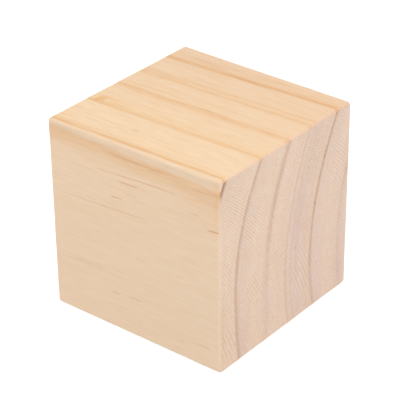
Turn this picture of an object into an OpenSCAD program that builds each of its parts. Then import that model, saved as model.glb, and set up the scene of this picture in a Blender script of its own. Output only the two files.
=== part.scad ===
// Solid cube of pine, cut from a planed square stick, with every edge eased by sanding.
// The grain runs along X, so the two sawn end-grain faces look to -X and +X. The origin is
// the centre of the underside, and the cube stands on Z = 0. Sizes are in millimetres.

/* [Cube] */
// Length of every side, measured over the eased edges
side = 60; // [20:1:150]

/* [Eased edges] */
// Radius of the four edges along the grain
long_edge_r = 1.4; // [1.2:0.1:6]
// Radius of the eight edges around the two sawn ends
end_edge_r = 0.9; // [0.3:0.1:1.1]

/* [Hidden] */
$fn = 64;

PINE = [0.89, 0.78, 0.68];

// Distances from the middle of the cube
half = side / 2;
long_round_at = half - long_edge_r;
end_round_at = half - end_edge_r;

// The end round follows each corner of the stick on an arc of this radius
corner_turn_r = long_edge_r - end_edge_r;

// Cross-section of the stick, drawn inwards of its faces by inset
module stick_section(inset) {
    flat = 2 * long_round_at;
    across = side - 2 * inset;
    square([flat, across], center = true);
    square([across, flat], center = true);
    for (y = [-1, 1], z = [-1, 1])
        translate([y * long_round_at, z * long_round_at])
            circle(long_edge_r - inset);
}

// A length of the stick along X, about the middle of the cube
module stick(length, inset) {
    rotate([90, 0, 90])
        linear_extrude(length, center = true)
            stick_section(inset);
}

// Round along the upper edge of the +X end, straight between the corners
module end_round() {
    translate([end_round_at, 0, end_round_at])
        rotate([90, 0, 0])
            cylinder(r = end_edge_r, h = 2 * long_round_at, center = true);
}

// Half section of the button that rounds a corner: flat on top out to corner_turn_r
module corner_section() {
    square([corner_turn_r, end_edge_r]);
    intersection() {
        translate([corner_turn_r, 0])
            circle(end_edge_r);
        square([long_edge_r, end_edge_r]);
    }
}

// Round that turns one corner of the +X end, from the upper edge down to the side edge
module corner_round() {
    translate([end_round_at, long_round_at, long_round_at])
        rotate([0, 90, 0])
            rotate_extrude()
                corner_section();
}

// The block, with its middle at the origin
module eased_block() {
    stick(side - 2 * end_edge_r, 0);
    stick(side, end_edge_r);
    for (end = [0, 1], turn = [0 : 90 : 270])
        mirror([end, 0, 0])
            rotate([turn, 0, 0]) {
                end_round();
                corner_round();
            }
}

module wooden_cube() {
    color(PINE)
        translate([0, 0, half])
            eased_block();
}

wooden_cube();
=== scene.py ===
"""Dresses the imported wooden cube: an eased pine block with its growth rings, fibre, resin and saw marks.

Everything is in the CAD frame: the grain runs along X, -X and +X are the sawn ends, -Y faces the tree's
bark and +Y its centre. Meshes are in metres. Patterns are laid out in millimetres from the middle of the
underside, and colours are written as 0 to 255 values of the finished surface.
"""

import math
from collections import namedtuple
from itertools import product

import bpy
import numpy as np
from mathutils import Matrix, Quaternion, Vector, noise


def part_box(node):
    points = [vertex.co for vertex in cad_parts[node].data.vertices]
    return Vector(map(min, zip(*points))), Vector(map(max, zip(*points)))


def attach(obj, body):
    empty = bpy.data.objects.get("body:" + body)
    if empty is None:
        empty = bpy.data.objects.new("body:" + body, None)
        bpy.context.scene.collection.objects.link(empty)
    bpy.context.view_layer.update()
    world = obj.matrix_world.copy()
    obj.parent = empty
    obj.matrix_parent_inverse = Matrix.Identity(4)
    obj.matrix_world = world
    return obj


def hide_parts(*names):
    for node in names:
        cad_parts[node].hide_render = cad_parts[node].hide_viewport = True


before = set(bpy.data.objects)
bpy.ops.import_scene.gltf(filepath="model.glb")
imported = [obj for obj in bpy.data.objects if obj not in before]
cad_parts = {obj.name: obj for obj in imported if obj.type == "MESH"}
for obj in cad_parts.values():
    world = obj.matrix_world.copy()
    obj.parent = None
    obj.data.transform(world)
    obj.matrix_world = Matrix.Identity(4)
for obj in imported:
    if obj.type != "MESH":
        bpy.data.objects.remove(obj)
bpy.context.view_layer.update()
NODE = "wooden_cube"
MM = 0.001

# --- Block -------------------------------------------------------------------------------------------
# Sanded radii in mm of the edges along the grain at the -X and +X end, by the edge's side in Y and Z
EDGE_ROUNDS = {
    (-1, 1): (0.8, 0.9),
    (1, 1): (0.95, 2.0),
    (-1, -1): (0.95, 1.3),
    (1, -1): (1.0, 0.85),
}
WIDEST_ROUND = 2.0  # mm
END_EDGE_R = 0.9  # mm, the eight edges around the sawn ends
END_SHARE = 0.97  # the most that it may be of the radius of the edge along the grain
CELLS_ALONG = 30  # mesh cells over the flat of a face, along the grain
CELLS_ACROSS = 118  # and across the grain
EDGE_CELL = 0.2  # mm, mesh cells over the rounds
EDGE_WEAR = 0.12  # mm, the most that sanding took off an edge beyond its round
RING_RELIEF = 0.03  # mm, how far the soft wood sank between rings
WAVE_RELIEF = 0.02  # mm, depth of the saw's broad waves on the ends
WAVE_LENGTH = 8.7  # mm from one broad wave to the next
# Late wood stands up from LATE_LEAD mm before a ring's edge, over LATE_RISE mm, and sinks again from
# LATE_CORE mm behind it, over LATE_FALL mm
LATE_LEAD = 0.6
LATE_RISE = 0.8
LATE_CORE = 0.6
LATE_FALL = 1.6
BROAD_RUB = 7.0  # mm, size of the uneven wear's large patches
SMALL_RUB = 2.1  # mm, and of its small ones
MEAN_RUB = 0.45  # share of EDGE_WEAR that is worn off on average
RUB_SWING = 0.7  # how much that share changes
TILE_FILL = 0.97  # share of its tile that a face takes in the bake map

# --- Growth rings ------------------------------------------------------------------------------------
# A ring's dark late wood starts at a sharp outer edge and fades towards +Y. That edge is a bow in Y and
# Z: foremost is its least y at the +X end and height is the z of that point, above and below bend it
# back by that many mm per mm squared, and drift moves it by that much for each mm along X.
# Line is the thin dark line on the sawn ends: rise is how gently it starts and width how wide it is, in
# mm, high and low are its strength at the top and bottom, mauve that of the soft shade behind it, and
# ahead that of the brown shade before it.
# Stripe is the orange stripe on faces along the grain: it starts lead mm before the line, takes rise mm
# to darken, stays dark over core mm and takes fall mm to end. dark is its strength, glow that of the
# yellow shade around it and wake the mm over which that shade fades.
Bow = namedtuple("Bow", "foremost height above below drift")
Line = namedtuple("Line", "rise width high low mauve ahead")
Stripe = namedtuple("Stripe", "lead rise core fall dark glow wake")
BOWS = (
    Bow(-38.02, 25.0, 0.00844, 0.0050, 0.0145),
    Bow(-23.62, 23.2, 0.0084, 0.0032, 0.019),
    Bow(-10.13, 22.5, 0.0073, 0.0000, 0.024),
    Bow(-0.95, 17.2, 0.0060, 0.0075, 0.026),
    Bow(1.95, 17.2, 0.0060, 0.0075, 0.026),
    Bow(10.92, 18.2, 0.0069, 0.0073, 0.037),
    Bow(24.35, 18.0, 0.0075, 0.0060, 0.045),
)
BOW_X = 30.0  # mm, where along X the bows' foremost places are given
LINES = (
    Line(0.5, 1.35, 1.35, 1.00, 0.5, 0.0),
    Line(0.6, 1.25, 0.64, 0.60, 0.9, 0.0),
    Line(2.2, 1.8, 0.64, 0.17, 0.3, 0.3),
    Line(0.6, 0.9, 0.32, 0.36, 1.0, 0.5),
    Line(0.5, 0.5, 0.22, 0.24, 1.3, 0.0),
    Line(0.7, 1.1, 0.86, 0.54, 0.95, 1.0),
    Line(0.9, 1.6, 0.36, 0.22, 0.5, 0.6),
)
STRIPES = (
    Stripe(0.66, 0.6, 0.55, 0.9, 0.92, 1.00, 4.6),
    Stripe(1.40, 0.9, 0.70, 1.2, 0.50, 1.20, 7.0),
    Stripe(1.5, 2.8, 1.55, 0.9, 0.68, 0.80, 6.0),
    Stripe(0.45, 0.7, 0.40, 1.1, 0.47, 1.00, 5.5),
    Stripe(0.7, 0.8, 0.40, 1.0, 0.47, 0.20, 2.0),
    Stripe(0.70, 0.9, 0.50, 1.75, 1.04, 1.30, 5.5),
    Stripe(1.0, 1.0, 0.60, 1.4, 0.70, 0.80, 5.0),
)
MIDDLE_RING = 3  # fine lines in the end grain run parallel to this one
END_REACH = 3.0  # mm from the ends over which a stripe swings in towards its line
LINE_HEIGHTS = (12.0, 48.0)  # mm along Z, where a line has its low and its high strength
MAUVE_REACH = (1.0, 9.0)  # mm behind a ring over which the soft shade fades
AHEAD_REACH = (-5.5, -2.0)  # mm behind a ring, so ahead of it, over which the brown shade comes up
# The strongest of all rings' shades at a place, and the mm behind the middle ring there
Rings = namedtuple("Rings", "line mauve ahead stripe glow middle")

# --- Saw marks on the ends ---------------------------------------------------------------------------
SAW_RADIUS = 116.0  # mm, radius of the circular blade
SAW_CENTRE_Z = -38.0  # mm, height of its arbor
SCRATCH_WIDTH = 0.32  # mm
SCRATCH_LENGTH = 5.0  # mm
SCRATCH_DARK = 0.40  # strength of the scratches outside the patches
PATCH_SCRATCH_DARK = 0.5  # and what a patch adds to it
PATCH_MARK_DARK = 1.6  # strength of the marks in a patch of strength 1
FAINT_MARK_DARK = 0.04  # and outside the patches
# A patch is a soft ellipse with its middle at y and z. The saw's marks show in patches, which are listed
# by the mm along Y from one mark to the next.
Patch = namedtuple("Patch", "y z half_y half_z dark")
PATCH_SPREAD = 1.25  # a patch fades out at this share of its half sizes
SAW_PATCHES = {
    1.14: (
        Patch(-23.0, 49.0, 8.0, 8.5, 1.15),
        Patch(-26.5, 32.0, 5.0, 17.0, 0.75),
        Patch(-14.5, 41.5, 7.0, 11.0, 1.15),
        Patch(-13.5, 21.0, 5.5, 7.0, 0.85),
        Patch(-15.0, 6.5, 4.0, 6.0, 0.45),
        Patch(-5.0, 24.5, 4.0, 7.5, 0.75),
    ),
    1.06: (
        Patch(5.0, 56.5, 5.0, 6.0, 0.8),
        Patch(14.0, 51.0, 6.5, 10.0, 1.25),
        Patch(11.5, 46.0, 6.0, 6.5, 1.2),
    ),
    1.44: (
        Patch(25.0, 43.5, 5.5, 9.5, 1.0),
        Patch(26.5, 57.0, 3.5, 3.0, 0.6),
        Patch(7.5, 14.5, 6.0, 9.5, 1.0),
        Patch(-26.5, 8.0, 5.0, 9.0, 0.6),
    ),
}
SAW_PHASES = {1.14: 8.0, 1.06: 12.0, 1.44: 19.0}
# Resin canals that are cut across
DOTS = (
    Patch(17.3, 47.7, 0.40, 0.40, 0.5),
    Patch(16.8, 45.2, 0.35, 0.35, 0.4),
    Patch(13.3, 34.5, 0.45, 0.55, 0.7),
    Patch(12.7, 31.8, 0.40, 0.40, 0.4),
    Patch(28.3, 38.8, 0.60, 0.60, 0.3),
    Patch(25.6, 27.4, 0.45, 0.45, 0.3),
    Patch(26.3, 24.6, 0.45, 0.45, 0.3),
    Patch(25.6, 7.8, 0.30, 3.00, 0.2),
    Patch(14.6, 14.3, 0.45, 0.45, 0.3),
    Patch(9.3, 2.3, 0.45, 0.45, 0.3),
    Patch(4.2, 24.0, 0.60, 0.90, 0.3),
    Patch(5.4, 31.8, 0.35, 0.35, 0.3),
    Patch(-1.4, 25.2, 0.40, 0.40, 0.4),
    Patch(-6.9, 19.6, 0.45, 0.45, 0.3),
    Patch(-6.0, 6.3, 0.45, 0.45, 0.3),
    Patch(-8.6, 9.0, 0.40, 0.40, 0.3),
    Patch(-28.3, 15.0, 0.60, 0.60, 0.3),
    Patch(-28.5, 9.6, 0.50, 0.50, 0.3),
    Patch(-28.9, 17.0, 2.60, 10.0, 0.11),
)
# Lavender zones of the end grain
MAUVE_PATCHES = (
    Patch(-20.0, 4.0, 4.0, 16.0, 0.8),
    Patch(-9.7, 11.0, 3.4, 15.0, 0.8),
    Patch(14.4, 8.0, 3.4, 20.0, 0.5),
    Patch(26.3, 10.0, 3.4, 22.0, 0.9),
    Patch(4.5, 33.0, 6.0, 17.0, 0.9),
)

# --- Resin streaks -----------------------------------------------------------------------------------
# Each runs from one point on a face to another, in x and in mm below the top edge for the front, or in
# x and y for the top. thick is its full thickness in mm, and dark its strength.
Streak = namedtuple("Streak", "x0 x1 across0 across1 thick dark")
STREAK_SPREAD = 0.7  # a streak fades out at this share of its thickness
STREAK_TAPER = 0.45  # and towards its tips from this share of its half length
FRONT_STREAKS = (
    Streak(-14.0, 3.5, 9.95, 8.95, 0.40, 0.60),
    Streak(-3.0, 17.5, 9.3, 8.15, 0.42, 0.60),
    Streak(-23.0, -12.0, 11.3, 10.7, 0.7, 0.15),
    Streak(-5.5, 3.0, 11.4, 11.1, 0.5, 0.60),
    Streak(-2.5, 2.3, 14.4, 14.2, 0.45, 0.40),
    Streak(1.5, 4.8, 15.1, 14.9, 0.4, 0.30),
    Streak(-8.3, -2.8, 16.9, 16.7, 0.45, 0.55),
    Streak(-27.0, -8.0, 21.95, 20.85, 0.40, 0.32),
    Streak(-12.0, 8.0, 21.1, 19.95, 0.38, 0.42),
    Streak(-12.5, -8.0, 21.1, 20.9, 0.4, 0.50),
    Streak(19.5, 23.8, 12.4, 12.2, 0.5, 0.45),
    Streak(25.0, 33.0, 15.6, 15.1, 0.6, 0.72),
    Streak(0.5, 6.5, 33.6, 33.3, 0.5, 0.20),
    Streak(-9.0, -5.5, 48.3, 48.0, 0.7, 0.45),
    Streak(-3.0, 3.0, 47.6, 47.3, 0.6, 0.35),
    Streak(21.5, 27.0, 53.1, 52.8, 0.6, 0.25),
    Streak(-26.0, -9.0, 42.6, 41.0, 2.2, 0.10),
    Streak(-12.0, 18.0, 3.8, 3.3, 1.1, 0.40),
    Streak(6.5, 16.0, 8.7, 8.3, 0.7, 0.40),
    Streak(20.0, 34.0, 4.7, 4.2, 1.2, 0.26),
)
TOP_STREAKS = (
    Streak(-18.9, -9.6, 25.6, 25.8, 0.6, 0.21),
    Streak(6.0, 11.0, 26.4, 26.6, 0.6, 0.28),
    Streak(22.0, 27.0, 26.2, 26.4, 0.6, 0.24),
    Streak(-15.0, -10.0, 14.5, 14.7, 0.5, 0.21),
    Streak(-8.9, -5.1, 13.8, 13.9, 0.5, 0.21),
    Streak(5.9, 12.1, 14.9, 15.1, 0.5, 0.21),
    Streak(-2.2, 4.5, -0.1, 0.1, 0.7, 0.39),
    Streak(5.0, 10.0, -4.7, -4.5, 0.5, 0.21),
    Streak(-14.9, -11.1, -5.4, -5.2, 0.5, 0.21),
    Streak(-7.2, -4.5, -21.2, -21.0, 0.7, 0.39),
    Streak(-15.2, -7.8, -25.1, -24.9, 0.5, 0.17),
    Streak(-27.1, -20.9, -25.1, -24.9, 0.5, 0.14),
    Streak(-29.9, -26.1, -19.9, -19.7, 0.5, 0.24),
    Streak(-20.2, -12.8, 1.6, 1.8, 0.5, 0.14),
    Streak(-15.0, -10.0, 2.9, 3.1, 0.5, 0.14),
    Streak(-8.8, -1.2, 2.6, 2.8, 0.5, 0.14),
    Streak(-34.0, -3.0, 1.3, 1.7, 1.3, 0.13),
    Streak(-32.0, 24.0, 4.5, 3.6, 1.8, 0.13),
    Streak(-32.0, -14.0, 9.7, 10.2, 1.6, 0.16),
    Streak(-18.0, -3.0, 25.3, 25.5, 1.3, 0.18),
    Streak(-2.0, 14.0, 26.2, 26.4, 1.2, 0.14),
    Streak(-16.0, -2.0, 13.9, 14.1, 1.0, 0.12),
    Streak(-30.0, -14.0, 18.2, 18.4, 1.2, 0.10),
    Streak(-25.0, -8.0, 24.5, 24.2, 2.8, 0.19),
    Streak(-32.0, -10.0, -27.9, -27.4, 1.6, 0.11),
    Streak(-12.0, 8.0, -27.3, -27.3, 1.2, 0.20),
)
# The hooked mark of a small knot on the top
HOOK_STREAKS = (
    Streak(-27.9, -25.6, -13.2, -12.4, 2.8, 1.40),
    Streak(-27.8, -24.4, -12.1, -11.5, 3.4, 1.45),
    Streak(-27.2, -24.2, -11.1, -10.7, 2.4, 1.05),
    Streak(-26.5, -20.0, -10.9, -10.7, 1.8, 0.50),
    Streak(-28.0, -14.0, -12.6, -12.4, 3.0, 0.27),
)
# Canals are also scattered through the wood, at most one in each cell
CANAL_CELL = (14.0, 1.3, 1.3)  # mm
CANAL_SIZE = 0.16  # radius as a share of the cell
CANAL_SHARE = 0.25  # share of the cells that hold one
CANAL_MOVE = (39.0, 87.0, 21.0)  # mm, how far the cells are moved

# --- Noise in the wood -------------------------------------------------------------------------------
# size is that of its blobs in mm along X, Y and Z
Pattern = namedtuple("Pattern", "size detail seed")
SEED_STEP = (17.0, -31.0, 23.0)  # how far one seed moves a pattern from the next
WANDER = Pattern((90.0, 12.0, 12.0), 2.0, 5.0)  # slow bends of the rings
JITTER = Pattern((25.0, 1.5, 1.5), 2.0, 1.0)  # and their small ones
WANDER_DEPTH = 0.12  # mm
JITTER_DEPTH = 0.10  # mm
SWAY = Pattern((9.0, 4.0, 4.0), 1.0, 11.0)  # bends of the streaks
SWAY_DEPTH = 0.18  # mm
FINE_FIBRE = Pattern((5.0, 0.36, 0.36), 3.0, 2.0)
COARSE_FIBRE = Pattern((16.0, 1.2, 1.2), 1.0, 6.0)
RAGGED_RIM = Pattern((2.0, 1.4, 1.4), 2.0, 20.0)  # of the end grain
RAGGED_DEPTH = 0.15  # mm
DRIFT = Pattern((60.0, 14.0, 14.0), 1.0, 7.0)
MOTTLE = Pattern((22.0, 4.5, 4.5), 2.0, 21.0)
DASHES = Pattern((5.0, 0.45, 0.45), 2.0, 14.0)
BLOTCH = Pattern((50.0, 6.0, 10.0), 2.0, 9.0)
HUE = Pattern((50.0, 2.0, 4.0), 2.0, 15.0)
SPECKLE = Pattern((0.6, 0.28, 0.28), 1.0, 4.0)
RING_BANDS = Pattern((60.0, 1.7, 30.0), 1.0, 16.0)  # along the middle ring
RING_HAIRS = Pattern((60.0, 0.42, 9.0), 1.0, 17.0)
LINE_BREAKS = Pattern((60.0, 0.7, 1.0), 2.0, 18.0)
TORN_FOOT = Pattern((40.0, 2.2, 0.6), 1.0, 22.0)
SCRATCHES = Pattern((1.0, 1.0, 1.0), 1.0, 2.0)
FADED_MARKS = Pattern((40.0, 1.6, 2.8), 2.0, 0.0)  # seeded with the phase of the saw's marks

# --- Colours of the wood -----------------------------------------------------------------------------
# 0 to 255 values near the bark and near the tree's centre, for the faces along the grain and the ends
LONG_COLOURS = ((248, 217.5, 180), (240.5, 206, 171.5))
FRONT_COLOUR = (244, 215.5, 185)
END_COLOURS = ((245.5, 219.8, 196.8), (244.8, 219.2, 199.2))
COLOUR_SPAN = (-20.0, 40.0)  # mm along Y from the one to the other
# What the linear colour is multiplied by where a shade has its full strength
LONG_TINTS = {
    # painted shade: the front darker low down and towards its right end
    "painted low front shade": (0.922, 0.952, 0.985),
    "drift": (0.99, 0.98, 0.965),
    "mottle": (0.994, 0.986, 0.975),
    # painted shade and light: the top darker to the left, lighter to the right
    "top left": (0.988, 0.986, 0.984),
    "top front": (1.0, 0.992, 0.983),
    # painted highlight along the rounded rear edge of the top
    "painted back rim highlight": (1.02, 1.025, 1.04),
    "under band": (0.982, 0.945, 0.915),
    # painted reflection of the white floor at the foot of the sides
    "foot": (1.0, 1.02, 1.06),
    "corner": (0.982, 0.945, 0.885),
    "glow": (0.985, 0.945, 0.865),
    # a greyer, darker band below the top edge of the sides
    "grey_top_band": (0.965, 0.97, 0.975),
    "stripe": (0.93, 0.81, 0.70),
    "fibre": (0.974, 0.946, 0.902),
    "hook": (0.955, 0.84, 0.70),
    "dashes": (0.96, 0.90, 0.82),
    "canals": (0.94, 0.86, 0.78),
    "resin": (0.76, 0.52, 0.30),
}
END_TINTS = {
    "top left": (0.962, 0.962, 0.96),
    # painted shade: the ends darker towards the bottom
    "low": (0.971, 0.969, 0.972),
    "low left": (0.985, 0.968, 0.945),
    "blotch": (0.985, 0.98, 0.97),
    "hue": (1.0, 0.972, 0.922),
    "high mauve": (0.942, 0.932, 0.952),
    "low mauve": (0.945, 0.945, 1.0),
    "zones": (0.978, 0.966, 1.012),
    "ahead": (0.965, 0.950, 0.940),
    "bands": (0.988, 0.977, 0.970),
    "hairs": (0.972, 0.960, 0.966),
    "line": (0.72, 0.60, 0.56),
    "saw": (0.960, 0.950, 0.943),
    "low saw": (0.97, 0.945, 0.92),
    "dots": (0.62, 0.42, 0.30),
    "top rim": (1.03, 0.985, 0.91),
    "top right rim": (0.965, 0.95, 0.98),
    "right rim": (1.02, 1.04, 1.06),
    "torn foot": (0.93, 0.87, 0.83),
    "speckle": (0.855, 0.845, 0.835),
}
TURNED_TINT = (1.0, 0.975, 1.03)  # of the round between the top and the end
# How far a face looks along Y, from 0 to 1, where the sides' look turns into the top's, and where a
# stripe gets narrower and fainter because its ring is cut along its layer
TOP_TURN = (0.6, 0.4)
LAYER_TURN = (0.5, 0.95)
ROUGHNESS = 0.58
END_ROUGHER = 0.16  # what the sawn ends add to it
FIBRE_ROUGHER = 0.03  # and the fibre
SPECULAR = 0.3
BUMP_DEPTH = 0.010  # mm

# --- View --------------------------------------------------------------------------------------------
IMAGE_WIDTH = 416
SENSOR = 36.0  # mm
FOCAL_PX = 1703.3
AZIMUTH = 38.83
ELEVATION = 29.93
ROLL = -0.43
DISTANCE = 0.486
MIDDLE = Vector((0.0, 0.0, 0.030))
AIM = Vector((0.001800, 0.00057, 0.028620))
CLIP_START = 0.01  # m

# --- Light -------------------------------------------------------------------------------------------
ROOM_LIGHT = (0.695, 0.695, 0.705, 1.0)
KEY_PLACE = (0.52, -0.62, 1.25)
KEY_SIZE = 1.1  # m
KEY_POWER = 8.03
KEY_COLOUR = (1.0, 0.95, 0.88)
WHITE = (1.0, 1.0, 1.0, 1.0)
FLOOR_HALF = 4.0  # m
PAPER = (235, 235, 235)
FLOOR_GLOW = 0.52  # what lifts the floor to white where it is seen


def linear(*srgb):
    """The linear RGBA of a colour given as 0 to 255 values."""
    channels = [c / 255.0 for c in srgb]
    return tuple(c / 12.92 if c <= 0.04045 else ((c + 0.055) / 1.055) ** 2.4 for c in channels) + (1.0,)


# ------------------------------------------------------------------------------------------- the block
def stations(half, turn, cells):
    """Places along one axis of the cube: even cells over the flat, and finer ones over each round."""
    flat = np.linspace(-(half - turn), half - turn, cells + 1)
    edge = np.linspace(half - turn, half, round(turn / EDGE_CELL) + 1)[1:]
    return np.concatenate([-edge[::-1], flat, edge])


def face_grid(axes, half, face):
    """The places along the two axes of one face of the cube, and the rows of its points."""
    side = (-1.0, 1.0)[face % 2]
    first, second = [axis for axis in range(3) if axis != face // 2]
    rows = []
    for a in axes[first]:
        row = []
        for b in axes[second]:
            point = [side * half] * 3
            point[first] = float(a)
            point[second] = float(b)
            row.append(tuple(point))
        rows.append(row)
    return axes[first], axes[second], rows


def tile_place(face, half, a, b):
    """The bake map's place of a point of this face: the six faces' tiles lie three by two."""
    u, v = (0.5 + TILE_FILL * c / (2 * half) for c in (a, b))
    return (face % 3 + u) / 3, (face // 3 + v) / 2


def cube_grid(half):
    """Points and quads of a sharp cube about its middle, and the bake map's places of the corners."""
    axes = [stations(half, END_EDGE_R, CELLS_ALONG)] + 2 * [stations(half, WIDEST_ROUND, CELLS_ACROSS)]
    numbers = {}
    points = []
    quads = []
    tiles = []

    def number(point):
        """The point's number, which points that fall together on an edge share."""
        key = tuple(round(c * 1e4) for c in point)
        if key not in numbers:
            numbers[key] = len(points)
            points.append(point)
        return numbers[key]

    for face in range(6):
        first, second, rows = face_grid(axes, half, face)
        rows = [[number(point) for point in row] for row in rows]
        turns_outward = (face % 2 == 1) != (face // 2 == 1)
        for i, j in product(range(len(first) - 1), range(len(second) - 1)):
            corners = [(i, j), (i + 1, j), (i + 1, j + 1), (i, j + 1)]
            if not turns_outward:
                corners.reverse()
            quads.append([rows[m][n] for m, n in corners])
            tiles += [tile_place(face, half, first[m], second[n]) for m, n in corners]
    return np.array(points), quads, tiles


def round_radii(points, half):
    """mm, the radius of the edges along the grain at each point, blended between the four of them."""
    x, y, z = ((1.0 + points / half) / 2).T
    radii = np.zeros(len(points))
    for (side_y, side_z), (back, front) in EDGE_ROUNDS.items():
        share = np.ones(len(points))
        for side, place in ((side_y, y), (side_z, z)):
            near = place if side > 0 else 1.0 - place
            share *= near * near * (3.0 - 2.0 * near)
        radii += share * (back + (front - back) * x)
    return radii


def ease(points, half):
    """Moves the sharp cube's points onto the eased block: a rounded square along X with rounded ends.

    Returns their places and the directions that the surface faces there.
    """
    radius = round_radii(points, half)
    end_radius = np.minimum(END_EDGE_R, END_SHARE * radius)
    core = (half - radius)[:, None]
    inner = np.clip(points[:, 1:], -core, core)
    out = points[:, 1:] - inner
    length = np.linalg.norm(out, axis=1)
    aim = out / np.maximum(length, 1e-9)[:, None]
    depth = radius - np.abs(out).max(axis=1)
    x = np.abs(points[:, 0])
    is_cap = x > half - 1e-6
    past_flat = np.clip((x - (half - end_radius)) / end_radius, 0.0, 1.0)
    from_edge = np.clip(depth / end_radius, 0.0, 1.0)
    turn = np.where(is_cap, 1.0 + from_edge, past_flat) * (math.pi / 4)
    inset = np.where(is_cap & (from_edge == 1.0), depth, end_radius * (1.0 - np.cos(turn)))
    placed = points.copy()
    placed[:, 1:] = inner + aim * (radius - inset)[:, None]
    round_x = half - end_radius * (1.0 - np.sin(turn))
    placed[:, 0] = np.sign(points[:, 0]) * np.where(turn > 0.0, round_x, x)
    facing = np.column_stack([np.sign(points[:, 0]) * np.sin(turn), aim * np.cos(turn)[:, None]])
    return placed, facing


def ring_distances(points):
    """mm behind each ring's sharp edge, one row a ring."""
    x, y, z = points.T
    rows = []
    for bow in BOWS:
        rise = z - bow.height
        bend = np.where(rise > 0.0, bow.above, bow.below)
        rows.append(y - bow.foremost - bow.drift * (x - BOW_X) - bend * rise**2)
    return np.array(rows)


def saw_travel(y, z):
    """Where along Y the blade stood when its rim cut each point."""
    return y - np.sqrt(SAW_RADIUS**2 - (z - SAW_CENTRE_Z) ** 2)


def relief(points, facing):
    """mm that each point lies below the ideal surface: worn edges, sunken soft wood and saw waves."""
    behind = ring_distances(points)
    start = np.clip((behind + LATE_LEAD) / LATE_RISE, 0.0, 1.0)
    fall = np.clip(1.0 - (behind - LATE_CORE) / LATE_FALL, 0.0, 1.0)
    late = (start * fall).max(axis=0)
    sunk = RING_RELIEF * (1.0 - late)
    x, y, z = points.T
    wave = 0.5 + 0.5 * np.sin(saw_travel(y, z) * (2 * math.pi / WAVE_LENGTH))
    sunk += WAVE_RELIEF * wave * np.abs(facing[:, 0]) ** 8
    nearness = np.clip((1.0 - np.abs(facing).max(axis=1)) / (1.0 - math.sqrt(0.5)), 0.0, 1.0)
    for n in np.flatnonzero(nearness > 0.0):
        point = Vector(points[n])
        rub = noise.noise(point / BROAD_RUB) + 0.5 * noise.noise(point / SMALL_RUB)
        sunk[n] += EDGE_WEAR * nearness[n] * min(max(MEAN_RUB + RUB_SWING * rub, 0.0), 1.0)
    return sunk


def block_mesh():
    low, high = (np.array(corner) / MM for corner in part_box(NODE))
    half = float((high - low).max() / 2)
    sharp, quads, tiles = cube_grid(half)
    points, facing = ease(sharp, half)
    points += (low + high) / 2
    points -= facing * relief(points, facing)[:, None]
    mesh = bpy.data.meshes.new("pine_block")
    mesh.from_pydata((points * MM).tolist(), [], quads)
    mesh.uv_layers.new(name="OFBake").uv.foreach_set("vector", np.array(tiles, np.float32).ravel())
    mesh.update()
    mesh.polygons.foreach_set("use_smooth", [True] * len(mesh.polygons))
    return mesh


# ---------------------------------------------------------------------------------------- node helpers
class Graph:
    """Short calls for the nodes of one tree. A value may be a number, a tuple or a node's output."""

    def __init__(self, tree):
        self.tree = tree

    def feed(self, socket, value):
        if isinstance(value, bpy.types.NodeSocket):
            self.tree.links.new(value, socket)
        else:
            socket.default_value = value

    def node(self, kind, *values, **settings):
        made = self.tree.nodes.new("ShaderNode" + kind)
        for name, setting in settings.items():
            setattr(made, name, setting)
        for socket, value in zip(made.inputs, values):
            self.feed(socket, value)
        return made

    def math(self, operation, *values):
        return self.node("Math", *values, operation=operation).outputs[0]

    def fold(self, operation, values):
        result = values[0]
        for value in values[1:]:
            result = self.math(operation, result, value)
        return result

    def vector(self, operation, *values):
        made = self.node("VectorMath", *values, operation=operation)
        return made.outputs["Value" if operation in ("LENGTH", "DOT_PRODUCT") else "Vector"]

    def smooth(self, value, start, end, low=0.0, high=1.0):
        """low before start and high after end, with an even curve between them.

        start and end are mm for a place, and 0 to 1 for how far a face looks along an axis.
        """
        made = self.node("MapRange", value, start, end, low, high, interpolation_type="SMOOTHSTEP")
        return made.outputs[0]

    def band(self, value, start, full, fade, end):
        """0 before start, 1 from full to fade and 0 after end."""
        return self.math("MULTIPLY", self.smooth(value, start, full), self.smooth(value, end, fade))

    def noise(self, position, pattern):
        """Noise of about -1 to 1 in this pattern."""
        moved = self.vector("ADD", position, tuple(pattern.seed * step for step in SEED_STEP))
        scaled = self.vector("DIVIDE", moved, pattern.size)
        made = self.node("TexNoise", scaled)
        made.inputs["Scale"].default_value = 1.0
        made.inputs["Detail"].default_value = pattern.detail
        return self.math("MULTIPLY_ADD", made.outputs[0], 3.2, -1.6)

    def mix(self, factor, first, second):
        made = self.node("Mix", data_type="RGBA", clamp_factor=False)
        self.feed(made.inputs["Factor"], factor)
        self.feed(made.inputs[6], first)
        self.feed(made.inputs[7], second)
        return made.outputs[2]

    def stain(self, tone, amount, tint):
        """tone, multiplied by tint where amount is 1 and left alone where it is 0."""
        made = self.node("Mix", data_type="RGBA", blend_type="MULTIPLY", clamp_factor=False)
        self.feed(made.inputs["Factor"], amount)
        self.feed(made.inputs[6], tone)
        self.feed(made.inputs[7], tint + (1.0,))
        return made.outputs[2]


def new_group(name, inputs, outputs):
    """A shader node group with these sockets: its tree, Graph, inputs and outputs."""
    tree = bpy.data.node_groups.new(name, "ShaderNodeTree")
    for label, kind in inputs:
        tree.interface.new_socket(label, in_out="INPUT", socket_type="NodeSocket" + kind)
    for label, kind in outputs:
        tree.interface.new_socket(label, in_out="OUTPUT", socket_type="NodeSocket" + kind)
    given = tree.nodes.new("NodeGroupInput")
    result = tree.nodes.new("NodeGroupOutput")
    return tree, Graph(tree), given.outputs, result.inputs


def use_group(g, tree, **values):
    made = g.node("Group", node_tree=tree)
    for name, value in values.items():
        g.feed(made.inputs[name.replace("_", " ")], value)
    return made.outputs[0]


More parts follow.
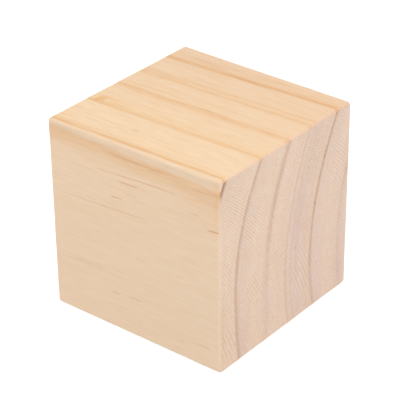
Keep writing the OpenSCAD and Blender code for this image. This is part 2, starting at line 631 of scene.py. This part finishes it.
# ---------------------------------------------------------------------------------------- the material
def ring_group():
    """Distance in mm behind one growth ring's sharp edge."""
    names = ("Foremost", "Height", "Above", "Below", "Drift")
    inputs = [("Position", "Vector")] + [(name, "Float") for name in names]
    tree, g, given, result = new_group("Growth ring", inputs, [("Behind", "Float")])
    x, y, z = g.node("SeparateXYZ", given["Position"]).outputs
    rise = g.math("SUBTRACT", z, given["Height"])
    is_above = g.math("GREATER_THAN", rise, 0.0)
    change = g.math("SUBTRACT", given["Above"], given["Below"])
    bend = g.math("MULTIPLY_ADD", is_above, change, given["Below"])
    bow = g.math("MULTIPLY", g.math("MULTIPLY", rise, rise), bend)
    from_end = g.math("SUBTRACT", x, BOW_X)
    drifted = g.math("MULTIPLY_ADD", from_end, given["Drift"], given["Foremost"])
    g.feed(result["Behind"], g.math("SUBTRACT", y, g.math("ADD", drifted, bow)))
    return tree


def line_shades(g, behind, height, line):
    """Strengths of one ring's thin dark line, the mauve shade behind it and the brown one ahead."""
    start = g.smooth(behind, -0.5 * line.rise - 0.1, 0.5 * line.rise - 0.1)
    width = g.smooth(behind, 0.4 * line.width, 1.5 * line.width, 1.0, 0.0)
    strength = g.smooth(height, *LINE_HEIGHTS, line.low, line.high)
    dark_line = g.fold("MULTIPLY", [start, width, strength])
    mauve = g.smooth(behind, *MAUVE_REACH, line.mauve, 0.0)
    shade = g.math("MULTIPLY", g.smooth(behind, 0.2, 1.6), mauve)
    before = g.smooth(behind, -0.6, 0.4, line.ahead, 0.0)
    ahead = g.math("MULTIPLY", g.smooth(behind, *AHEAD_REACH), before)
    return dark_line, shade, ahead


def stripe_shades(g, behind, from_end, spread, stripe):
    """Strengths of one ring's orange stripe and of the yellow glow around it."""
    led = g.math("MULTIPLY_ADD", from_end, stripe.lead, behind)
    start = g.smooth(led, -0.5 * stripe.rise, 0.5 * stripe.rise)
    depth = g.math("MULTIPLY", led, spread)
    core = g.smooth(depth, stripe.core, stripe.core + stripe.fall, stripe.dark, 0.0)
    glow = g.smooth(led, 0.2, stripe.wake, stripe.glow, 0.0)
    return g.math("MULTIPLY", start, core), g.math("MULTIPLY", start, glow)


def ring_fields(g, position, height, from_end, spread):
    """The Rings at position."""
    tree = ring_group()
    totals = [0.0, 0.0, 0.0, 0.0, 0.0]
    for n, (bow, line, stripe) in enumerate(zip(BOWS, LINES, STRIPES)):
        behind = use_group(g, tree, Position=position, Foremost=bow.foremost, Height=bow.height,
                           Above=bow.above, Below=bow.below, Drift=bow.drift)
        if n == MIDDLE_RING:
            middle = behind
        strengths = line_shades(g, behind, height, line)
        strengths += stripe_shades(g, behind, from_end, spread, stripe)
        totals = [g.math("MAXIMUM", total, strength) for total, strength in zip(totals, strengths)]
    return Rings(*totals, middle)


def streak_group():
    """1 along the core of one lens-shaped resin streak, and 0 outside it."""
    names = ("Centre", "Half size", "Lean")
    inputs = [("Position", "Vector")] + [(name, "Vector") for name in names]
    tree, g, given, result = new_group("Resin streak", inputs, [("Amount", "Float")])
    offset = g.vector("SUBTRACT", given["Position"], given["Centre"])
    along = g.vector("DOT_PRODUCT", offset, (1.0, 0.0, 0.0))
    bend = g.node("VectorMath", given["Lean"], operation="SCALE")
    g.feed(bend.inputs["Scale"], along)
    straight = g.vector("SUBTRACT", offset, bend.outputs[0])
    share = g.vector("DIVIDE", straight, given["Half size"])
    lengthwise = g.math("ABSOLUTE", g.vector("DOT_PRODUCT", share, (1.0, 0.0, 0.0)))
    sideways = g.vector("LENGTH", g.vector("MULTIPLY", share, (0.0, 1.0, 1.0)))
    parts = [g.smooth(lengthwise, STREAK_TAPER, 1.0, 1.0, 0.0), g.smooth(sideways, 0.0, 1.0, 1.0, 0.0)]
    g.feed(result["Amount"], g.fold("MULTIPLY", parts))
    return tree


def placed_streaks(g, tree, position, half, front, top):
    """The darkest of the streaks that are listed for the front and the top."""
    darkest = 0.0
    for faces_front, streaks in ((True, front), (False, top)):
        for s in streaks:
            run = s.x1 - s.x0
            slope = (s.across1 - s.across0) / run
            x, across = (s.x0 + s.x1) / 2, (s.across0 + s.across1) / 2
            centre = (x, -half, 2 * half - across) if faces_front else (x, across, 2 * half)
            lean = (0.0, 0.0, -slope) if faces_front else (0.0, slope, 0.0)
            size = (run / 2, STREAK_SPREAD * s.thick, STREAK_SPREAD * s.thick)
            amount = use_group(g, tree, Position=position, Centre=centre, Half_size=size, Lean=lean)
            darkest = g.math("MAXIMUM", darkest, g.math("MULTIPLY", amount, s.dark))
    return darkest


def patch_group():
    """1 at the middle of a soft ellipse on the sawn ends, and 0 outside it."""
    inputs = [(name, "Vector") for name in ("Position", "Centre", "Half size")]
    tree, g, given, result = new_group("Soft patch", inputs, [("Amount", "Float")])
    offset = g.vector("SUBTRACT", given["Position"], given["Centre"])
    share = g.vector("LENGTH", g.vector("DIVIDE", offset, given["Half size"]))
    g.feed(result["Amount"], g.smooth(share, 0.0, 1.0, 1.0, 0.0))
    return tree


def placed_patches(g, tree, position, patches):
    """The strongest of the patches at each place of the sawn ends."""
    strongest = 0.0
    for patch in patches:
        size = (1e6, PATCH_SPREAD * patch.half_y, PATCH_SPREAD * patch.half_z)
        amount = use_group(g, tree, Position=position, Centre=(0.0, patch.y, patch.z), Half_size=size)
        strongest = g.math("MAXIMUM", strongest, g.math("MULTIPLY", amount, patch.dark))
    return strongest


def scattered_canals(g, position):
    """Resin canals all through the wood: fine dashes, which show as dots where they are cut across."""
    moved = g.vector("ADD", position, CANAL_MOVE)
    made = g.node("TexVoronoi", g.vector("DIVIDE", moved, CANAL_CELL))
    made.inputs["Scale"].default_value = 1.0
    draw = g.node("SeparateColor", made.outputs["Color"]).outputs[0]
    chosen = g.math("GREATER_THAN", draw, 1.0 - CANAL_SHARE)
    near = g.smooth(made.outputs["Distance"], 0.3 * CANAL_SIZE, CANAL_SIZE, 1.0, 0.0)
    return g.math("MULTIPLY", chosen, near)


def saw_marks(g, tree, place, y, z):
    """Marks of the circular saw, about -1 to 1: arcs of the blade's rim in patches, and scratches."""
    rise = g.math("SUBTRACT", z, SAW_CENTRE_Z)
    square = g.math("SUBTRACT", SAW_RADIUS**2, g.math("MULTIPLY", rise, rise))
    travel = g.math("SUBTRACT", y, g.math("SQRT", square))
    across = g.math("DIVIDE", travel, SCRATCH_WIDTH)
    swept = g.node("CombineXYZ", across, g.math("DIVIDE", z, SCRATCH_LENGTH), 0.0)
    scratches = g.noise(swept.outputs[0], SCRATCHES)
    total = g.math("MULTIPLY", scratches, SCRATCH_DARK)
    for pitch, patches in SAW_PATCHES.items():
        strength = placed_patches(g, tree, place, patches)
        reach = g.math("MULTIPLY_ADD", strength, PATCH_MARK_DARK, FAINT_MARK_DARK)
        phase = SAW_PHASES[pitch]
        marks = g.math("SINE", g.math("MULTIPLY_ADD", travel, 2.0 * math.pi / pitch, phase))
        marks = g.smooth(marks, -0.9, 1.3, -0.8, 1.35)
        faded = g.smooth(g.noise(place, FADED_MARKS._replace(seed=phase)), -0.7, 0.6, 0.45, 1.3)
        total = g.math("ADD", total, g.fold("MULTIPLY", [marks, faded, reach]))
        total = g.math("MULTIPLY_ADD", g.math("MULTIPLY", scratches, reach), PATCH_SCRATCH_DARK, total)
    return total


def wood_colour(g, y, colours):
    """The plain wood's colour, which changes from the bark's side to the centre's."""
    return g.mix(g.smooth(y, *COLOUR_SPAN), *(linear(*colour) for colour in colours))


def plain_sides(g, place, on_front, x, y, z):
    """Plain wood along the grain with its broad changes, and painted shade low and right on the front."""
    drift = g.noise(place, DRIFT)
    tone = wood_colour(g, y, LONG_COLOURS)
    tone = g.mix(on_front, tone, linear(*FRONT_COLOUR))
    # Painted shade: the front gets darker towards its foot and towards its right end
    downward = g.smooth(z, 58.0, 0.0, 0.0, 0.65)
    painted_shade_low_right = g.math("ADD", downward, g.smooth(x, -30.0, 30.0, 0.0, 0.35))
    tone = g.stain(tone, g.math("MULTIPLY", on_front, painted_shade_low_right), LONG_TINTS["painted low front shade"])
    tone = g.stain(tone, g.math("MULTIPLY", drift, 0.5), LONG_TINTS["drift"])
    return g.stain(tone, g.noise(place, MOTTLE), LONG_TINTS["mottle"])


def top_shades(g, tone, facing_y, x, y):
    """Top shades: painted shade to the left, warmer front left, painted highlight along the rear rim."""
    on_top = g.math("MULTIPLY", g.smooth(facing_y, *TOP_TURN), g.smooth(y, 0.0, 15.0, 1.0, 1.8))
    # Painted shade and light: the top darker at its left end and lighter at its right, more so to the back
    painted_shade_leftward = g.math("MULTIPLY", on_top, g.smooth(x, -30.0, 30.0, 0.5, -0.5))
    tone = g.stain(tone, painted_shade_leftward, LONG_TINTS["top left"])
    front_left = g.fold("MULTIPLY", [on_top, g.smooth(y, -19.0, -25.0), g.smooth(x, 12.0, -8.0)])
    tone = g.stain(tone, front_left, LONG_TINTS["top front"])
    # Painted highlight: a pale band where the top starts to round over at its rear edge
    return g.stain(tone, g.band(y, 26.8, 27.4, 28.3, 29.0), LONG_TINTS["painted back rim highlight"])


def front_shades(g, tone, on_front, x, z):
    """Front shades: brown under the pale band and at the right corner, painted floor reflection at the
    foot.
    """
    under_band = g.band(z, 41.0, 50.0, 51.5, 55.5)
    under_right = g.fold("MULTIPLY", [on_front, g.smooth(x, 10.0, 24.0), under_band])
    tone = g.stain(tone, under_right, LONG_TINTS["under band"])
    # Painted reflection: the sides turn paler and bluer at their foot, as if mirroring the white floor
    tone = g.stain(tone, g.smooth(z, 1.4, 0.3), LONG_TINTS["foot"])
    corner = g.fold("MULTIPLY", [on_front, g.smooth(x, 27.8, 29.2), g.smooth(z, 40.0, 54.0)])
    return g.stain(tone, corner, LONG_TINTS["corner"])


def long_grain(g, place, rings, hook, resin, canals, fibre, facing_y):
    """Colour of the faces along the grain."""
    x, y, z = g.node("SeparateXYZ", place).outputs
    on_front = g.smooth(y, -30.6, -27.5, 1.0, 0.0)
    tone = plain_sides(g, place, on_front, x, y, z)
    tone = top_shades(g, tone, facing_y, x, y)
    tone = front_shades(g, tone, on_front, x, z)
    tone = g.stain(tone, rings.glow, LONG_TINTS["glow"])
    # A greyer, darker band over the top few mm of the sides; worn sets its strength, which grows to the
    # left
    worn = g.smooth(x, 5.0, -25.0, 1.35, 2.0)
    grey_top_band = g.fold("MULTIPLY", [g.smooth(facing_y, 0.62, 0.72), g.smooth(z, 56.4, 59.2), worn])
    tone = g.stain(tone, grey_top_band, LONG_TINTS["grey_top_band"])
    oblique = g.smooth(facing_y, *LAYER_TURN, 1.0, 0.51)
    frayed = g.math("MULTIPLY_ADD", fibre, 0.40, 1.0)
    stripe = g.fold("MULTIPLY", [rings.stripe, oblique, frayed])
    tone = g.stain(tone, stripe, LONG_TINTS["stripe"])
    strands = g.math("MULTIPLY", fibre, g.smooth(facing_y, *TOP_TURN, 1.1, 1.6))
    tone = g.stain(tone, strands, LONG_TINTS["fibre"])
    tone = g.stain(tone, hook, LONG_TINTS["hook"])
    dashes = g.smooth(g.noise(place, DASHES), 0.45, 1.1)
    tone = g.stain(tone, dashes, LONG_TINTS["dashes"])
    canals = g.math("MULTIPLY", canals, g.smooth(y, 24.0, 29.0, 1.0, 2.0))
    tone = g.stain(tone, canals, LONG_TINTS["canals"])
    broken = g.math("MULTIPLY_ADD", fibre, 0.35, 1.0)
    return g.stain(tone, g.math("MULTIPLY", resin, broken), LONG_TINTS["resin"])


def ring_noise(g, x, middle, z, pattern):
    """Noise in bands that run parallel to the middle ring."""
    return g.noise(g.node("CombineXYZ", x, middle, z).outputs[0], pattern)


def plain_ends(g, low_left, blotch, hue, y, z):
    """The plain wood of the sawn ends, with its broad changes and a painted shade towards the bottom."""
    tone = wood_colour(g, y, END_COLOURS)
    top_left = g.math("MULTIPLY", g.smooth(z, 40.0, 57.0), g.smooth(y, -12.0, -26.0))
    tone = g.stain(tone, top_left, END_TINTS["top left"])
    # Painted shade: the ends get darker towards the bottom
    tone = g.stain(tone, g.smooth(z, 50.0, 5.0), END_TINTS["low"])
    tone = g.stain(tone, low_left, END_TINTS["low left"])
    tone = g.stain(tone, g.math("MULTIPLY", blotch, 0.8), END_TINTS["blotch"])
    return g.stain(tone, hue, END_TINTS["hue"])


def mauve_shades(g, tone, rings, zones, hue, low):
    """The mauve behind the rings, which is bluer low down, the lavender zones and the brown ahead."""
    high_mauve = g.math("MULTIPLY", rings.mauve, g.math("SUBTRACT", 1.0, low))
    tone = g.stain(tone, high_mauve, END_TINTS["high mauve"])
    tone = g.stain(tone, g.math("MULTIPLY", rings.mauve, low), END_TINTS["low mauve"])
    zones = g.math("MULTIPLY", zones, g.math("MULTIPLY_ADD", hue, 0.4, 1.0))
    tone = g.stain(tone, zones, END_TINTS["zones"])
    return g.stain(tone, rings.ahead, END_TINTS["ahead"])


def end_rims(g, tone, place, y, z):
    """The rims of the sawn ends: orange at the top, pale at the right and torn fibre at the foot."""
    top_rim = g.math("MULTIPLY", g.smooth(z, 58.3, 59.3), g.smooth(y, -25.0, -14.0))
    tone = g.stain(tone, top_rim, END_TINTS["top rim"])
    top_right = g.math("MULTIPLY", top_rim, g.smooth(y, 12.0, 22.0))
    tone = g.stain(tone, top_right, END_TINTS["top right rim"])
    right_rim = g.math("MULTIPLY", g.smooth(y, 28.0, 29.3), g.smooth(z, 40.0, 20.0))
    tone = g.stain(tone, right_rim, END_TINTS["right rim"])
    torn = g.smooth(g.noise(place, TORN_FOOT), -0.4, 0.5, 0.3, 1.3)
    return g.stain(tone, g.math("MULTIPLY", g.smooth(z, 0.75, 0.3), torn), END_TINTS["torn foot"])


def end_grain(g, place, rings, zones, saw, canals, dots):
    """Colour of the sawn ends."""
    x, y, z = g.node("SeparateXYZ", place).outputs
    blotch = g.noise(place, BLOTCH)
    hue = g.noise(place, HUE)
    speckle = g.noise(place, SPECKLE)
    bands = ring_noise(g, x, rings.middle, z, RING_BANDS)
    hairs = ring_noise(g, x, rings.middle, z, RING_HAIRS)
    inner = g.smooth(rings.middle, -3.0, 1.0, 0.3, 1.0)
    hair_zone = g.math("MULTIPLY", inner, g.smooth(rings.middle, 9.0, 14.0, 1.0, 0.5))
    low = g.smooth(z, 36.0, 12.0)
    low_left = g.math("MULTIPLY", g.smooth(y, -10.0, -26.0), g.smooth(z, 34.0, 8.0))

    tone = plain_ends(g, low_left, blotch, hue, y, z)
    tone = mauve_shades(g, tone, rings, zones, hue, low)
    tone = g.stain(tone, bands, END_TINTS["bands"])
    tone = g.stain(tone, g.math("MULTIPLY", hairs, hair_zone), END_TINTS["hairs"])
    broken = g.math("MULTIPLY_ADD", g.noise(place, LINE_BREAKS), 0.30, 1.0)
    tone = g.stain(tone, g.math("MULTIPLY", rings.line, broken), END_TINTS["line"])
    tone = g.stain(tone, saw, END_TINTS["saw"])
    low_saw = g.math("MULTIPLY", g.math("MAXIMUM", saw, 0.0), low_left)
    tone = g.stain(tone, low_saw, END_TINTS["low saw"])
    pores = g.math("MAXIMUM", g.math("MULTIPLY", canals, 0.25), dots)
    tone = g.stain(tone, pores, END_TINTS["dots"])
    tone = end_rims(g, tone, place, y, z)
    return g.stain(tone, speckle, END_TINTS["speckle"])


def block_place(g):
    """The place on the block in mm, and the direction that the surface faces there."""
    coordinates = g.node("TexCoord")
    scaled = g.node("VectorMath", coordinates.outputs["Object"], operation="SCALE")
    scaled.inputs["Scale"].default_value = 1.0 / MM
    return scaled.outputs[0], coordinates.outputs["Normal"]


def end_mask(g, place, facing_x, half, y, z):
    """1 on the sawn ends and 0 on the faces along the grain, with a ragged border on the rounds."""
    across = g.math("SUBTRACT", g.math("ABSOLUTE", y), 0.3)
    side = g.math("MAXIMUM", across, g.math("ABSOLUTE", g.math("SUBTRACT", z, half)))
    from_rim = g.math("SUBTRACT", half, side)
    ragged = g.math("MULTIPLY_ADD", g.noise(place, RAGGED_RIM), RAGGED_DEPTH, from_rim)
    return g.math("MULTIPLY", g.smooth(ragged, 0.42, 0.92), g.smooth(facing_x, 0.6, 0.8))


def wandered(g, place):
    """The place, moved along Y by as much as the rings bend there."""
    wander = g.noise(place, WANDER)
    jitter = g.noise(place, JITTER)
    slow = g.math("MULTIPLY", wander, WANDER_DEPTH)
    shift = g.math("ADD", slow, g.math("MULTIPLY", jitter, JITTER_DEPTH))
    return g.vector("ADD", place, g.node("CombineXYZ", 0.0, shift, 0.0).outputs[0])


def swayed(g, place):
    """The place, moved in Y and Z by as much as the streaks bend there."""
    sway = g.math("MULTIPLY", g.noise(place, SWAY), SWAY_DEPTH)
    return g.vector("ADD", place, g.node("CombineXYZ", 0.0, sway, sway).outputs[0])


def fibre_noise(g, place):
    fine = g.noise(place, FINE_FIBRE)
    coarse = g.noise(place, COARSE_FIBRE)
    return g.math("ADD", g.math("MULTIPLY", fine, 0.9), g.math("MULTIPLY", coarse, 0.4))


def bare_wood(g, tone, is_end, fibre, saw):
    """The shader of unvarnished wood, with the fibre or the saw marks in its roughness and bump."""
    shader = g.node("BsdfPrincipled")
    g.feed(shader.inputs["Base Color"], tone)
    rough = g.math("MULTIPLY_ADD", is_end, END_ROUGHER, ROUGHNESS)
    g.feed(shader.inputs["Roughness"], g.math("MULTIPLY_ADD", fibre, FIBRE_ROUGHER, rough))
    shader.inputs["Specular IOR Level"].default_value = SPECULAR
    bump = g.node("Bump")
    bump.inputs["Strength"].default_value = 1.0
    bump.inputs["Distance"].default_value = BUMP_DEPTH * MM
    height = g.node("Mix", data_type="FLOAT")
    g.feed(height.inputs[0], is_end)
    g.feed(height.inputs[2], fibre)
    g.feed(height.inputs[3], saw)
    g.feed(bump.inputs["Height"], height.outputs[0])
    g.feed(shader.inputs["Normal"], bump.outputs[0])
    out = g.node("OutputMaterial")
    g.tree.links.new(shader.outputs[0], out.inputs["Surface"])


def wood_material(half):
    mat = bpy.data.materials.new("pine")
    mat.use_nodes = True
    mat.node_tree.nodes.clear()
    g = Graph(mat.node_tree)
    place, normal = block_place(g)
    x, y, z = g.node("SeparateXYZ", place).outputs
    facing = g.node("SeparateXYZ", normal).outputs
    facing_x = g.math("ABSOLUTE", facing[0])
    is_end = end_mask(g, place, facing_x, half, y, z)
    from_end = g.smooth(g.math("ABSOLUTE", x), half - END_REACH, half + 1.0, 1.0, 0.75)

    grown = wandered(g, place)
    facing_y = g.math("ABSOLUTE", facing[1])
    spread = g.smooth(facing_y, *LAYER_TURN, 1.0, 0.45)
    rings = ring_fields(g, grown, z, from_end, spread)
    fibre = fibre_noise(g, place)
    bent = swayed(g, place)
    streak = streak_group()
    resin = placed_streaks(g, streak, bent, half, FRONT_STREAKS, TOP_STREAKS)
    hook = placed_streaks(g, streak, bent, half, (), HOOK_STREAKS)
    canals = scattered_canals(g, place)
    along = long_grain(g, place, rings, hook, resin, canals, fibre, facing_y)

    patch = patch_group()
    saw = saw_marks(g, patch, place, y, z)
    zones = placed_patches(g, patch, place, MAUVE_PATCHES)
    dots = placed_patches(g, patch, place, DOTS)
    across = end_grain(g, place, rings, zones, saw, canals, dots)
    to_end = g.smooth(facing_x, 0.15, 0.6)
    to_top = g.smooth(g.math("ABSOLUTE", facing[2]), 0.15, 0.4)
    turned = g.math("MULTIPLY", to_end, to_top)
    tone = g.stain(g.mix(is_end, along, across), turned, TURNED_TINT)
    bare_wood(g, tone, is_end, fibre, saw)
    return mat


# ------------------------------------------------------------------------------------------ the studio
def seen_directly(g):
    """1 for camera, glossy and transmission rays, which see the white set, and 0 for its light."""
    path = g.node("LightPath").outputs
    rays = [path["Is Camera Ray"], path["Is Glossy Ray"], path["Is Transmission Ray"]]
    return g.fold("MAXIMUM", rays)


def add_floor():
    sides = ((-1, -1), (1, -1), (1, 1), (-1, 1))
    corners = [(FLOOR_HALF * side_x, FLOOR_HALF * side_y, 0.0) for side_x, side_y in sides]
    mesh = bpy.data.meshes.new("floor")
    mesh.from_pydata(corners, [], [(0, 1, 2, 3)])
    floor = bpy.data.objects.new("floor", mesh)
    bpy.context.collection.objects.link(floor)
    mat = bpy.data.materials.new("white_paper")
    mat.use_nodes = True
    mat.node_tree.nodes.clear()
    g = Graph(mat.node_tree)
    paper = g.node("BsdfDiffuse", linear(*PAPER))
    glow = g.node("Emission", WHITE)
    g.feed(glow.inputs["Strength"], g.math("MULTIPLY", seen_directly(g), FLOOR_GLOW))
    both = g.node("AddShader", paper.outputs[0], glow.outputs[0])
    out = g.node("OutputMaterial")
    g.tree.links.new(both.outputs[0], out.inputs["Surface"])
    mesh.materials.append(mat)


def add_world():
    world = bpy.data.worlds.new("white_room")
    world.use_nodes = True
    world.node_tree.nodes.clear()
    g = Graph(world.node_tree)
    colour = g.mix(seen_directly(g), ROOM_LIGHT, WHITE)
    light = g.node("Background", colour)
    out = g.node("OutputWorld")
    g.tree.links.new(light.outputs[0], out.inputs["Surface"])
    bpy.context.scene.world = world


def add_softbox(name, place, size, power, colour):
    lamp = bpy.data.lights.new(name, "AREA")
    lamp.shape = "DISK"
    lamp.size = size
    lamp.energy = power
    lamp.color = colour
    box = bpy.data.objects.new(name, lamp)
    box.location = place
    box.rotation_mode = "QUATERNION"
    box.rotation_quaternion = (MIDDLE - Vector(place)).to_track_quat("-Z", "Y")
    bpy.context.collection.objects.link(box)


def add_camera():
    azimuth = math.radians(AZIMUTH)
    elevation = math.radians(ELEVATION)
    back = Vector((
        math.sin(azimuth) * math.cos(elevation),
        -math.cos(azimuth) * math.cos(elevation),
        math.sin(elevation),
    ))
    lens = bpy.data.cameras.new("camera")
    lens.sensor_width = SENSOR
    lens.lens = SENSOR * FOCAL_PX / IMAGE_WIDTH
    lens.clip_start = CLIP_START
    camera = bpy.data.objects.new("camera", lens)
    camera.location = MIDDLE + DISTANCE * back
    facing = (AIM - camera.location).to_track_quat("-Z", "Y")
    camera.rotation_mode = "QUATERNION"
    camera.rotation_quaternion = facing @ Quaternion((0.0, 0.0, 1.0), math.radians(ROLL))
    bpy.context.collection.objects.link(camera)
    bpy.context.scene.camera = camera


def add_block():
    low, high = (Vector(corner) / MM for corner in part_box(NODE))
    block = bpy.data.objects.new("pine_block", block_mesh())
    bpy.context.collection.objects.link(block)
    block.data.materials.append(wood_material((high.x - low.x) / 2))
    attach(block, "root")
    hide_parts(NODE)


add_camera()
add_floor()
add_world()
add_softbox("key", KEY_PLACE, KEY_SIZE, KEY_POWER, KEY_COLOUR)
add_block()

bpy.context.scene.view_settings.view_transform = "Standard"
